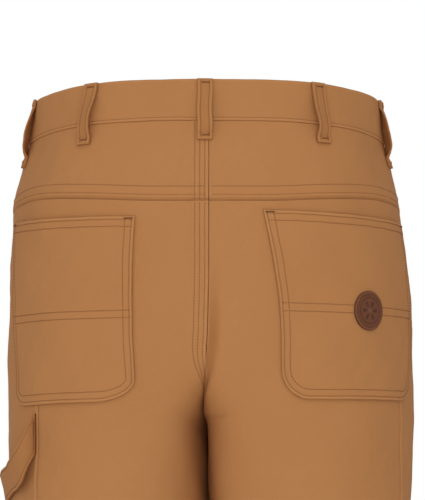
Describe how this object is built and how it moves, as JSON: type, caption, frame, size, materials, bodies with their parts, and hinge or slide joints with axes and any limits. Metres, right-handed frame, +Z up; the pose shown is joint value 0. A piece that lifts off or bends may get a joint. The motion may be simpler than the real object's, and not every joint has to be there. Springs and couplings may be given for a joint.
{
  "type": "carpenter pants",
  "caption": "Straight-leg work trousers in cotton duck, filled out as worn, with a yoke, patch pockets, belt loops, a hammer loop and a tool pocket.",
  "frame": {"origin": "centre of the waist at half the height of the waistband, where the wearer holds the garment up", "axes": "+Z up, toward the waist; the front of the garment faces -Y and the wearer's left is +X"},
  "size_m": [0.3932, 0.2656, 1.1277],
  "materials": {
    "duck": "warm brown cotton duck, matte, with rows of matching topstitching",
    "leather": "dark red-brown embossed leather, soft satin",
    "bronze": "aged dark brass, satin"
  },
  "bodies": {
    "root": {"waistband": "duck", "yoke_left": "duck", "yoke_right": "duck", "back_left": "duck", "back_right": "duck", "front_left": "duck", "front_right": "duck", "pocket_facing_left": "duck", "pocket_facing_right": "duck", "fly": "duck", "waist_button": "bronze", "belt_loop_back_centre": "duck", "belt_loop_back_left": "duck", "belt_loop_back_right": "duck", "belt_loop_side_left": "duck", "belt_loop_side_right": "duck", "belt_loop_front_left": "duck", "belt_loop_front_right": "duck", "back_pocket_left": "duck", "back_pocket_right": "duck", "tool_pocket": "duck", "leather_patch": "leather", "hammer_loop": "duck"}
  },
  "joints": []
}
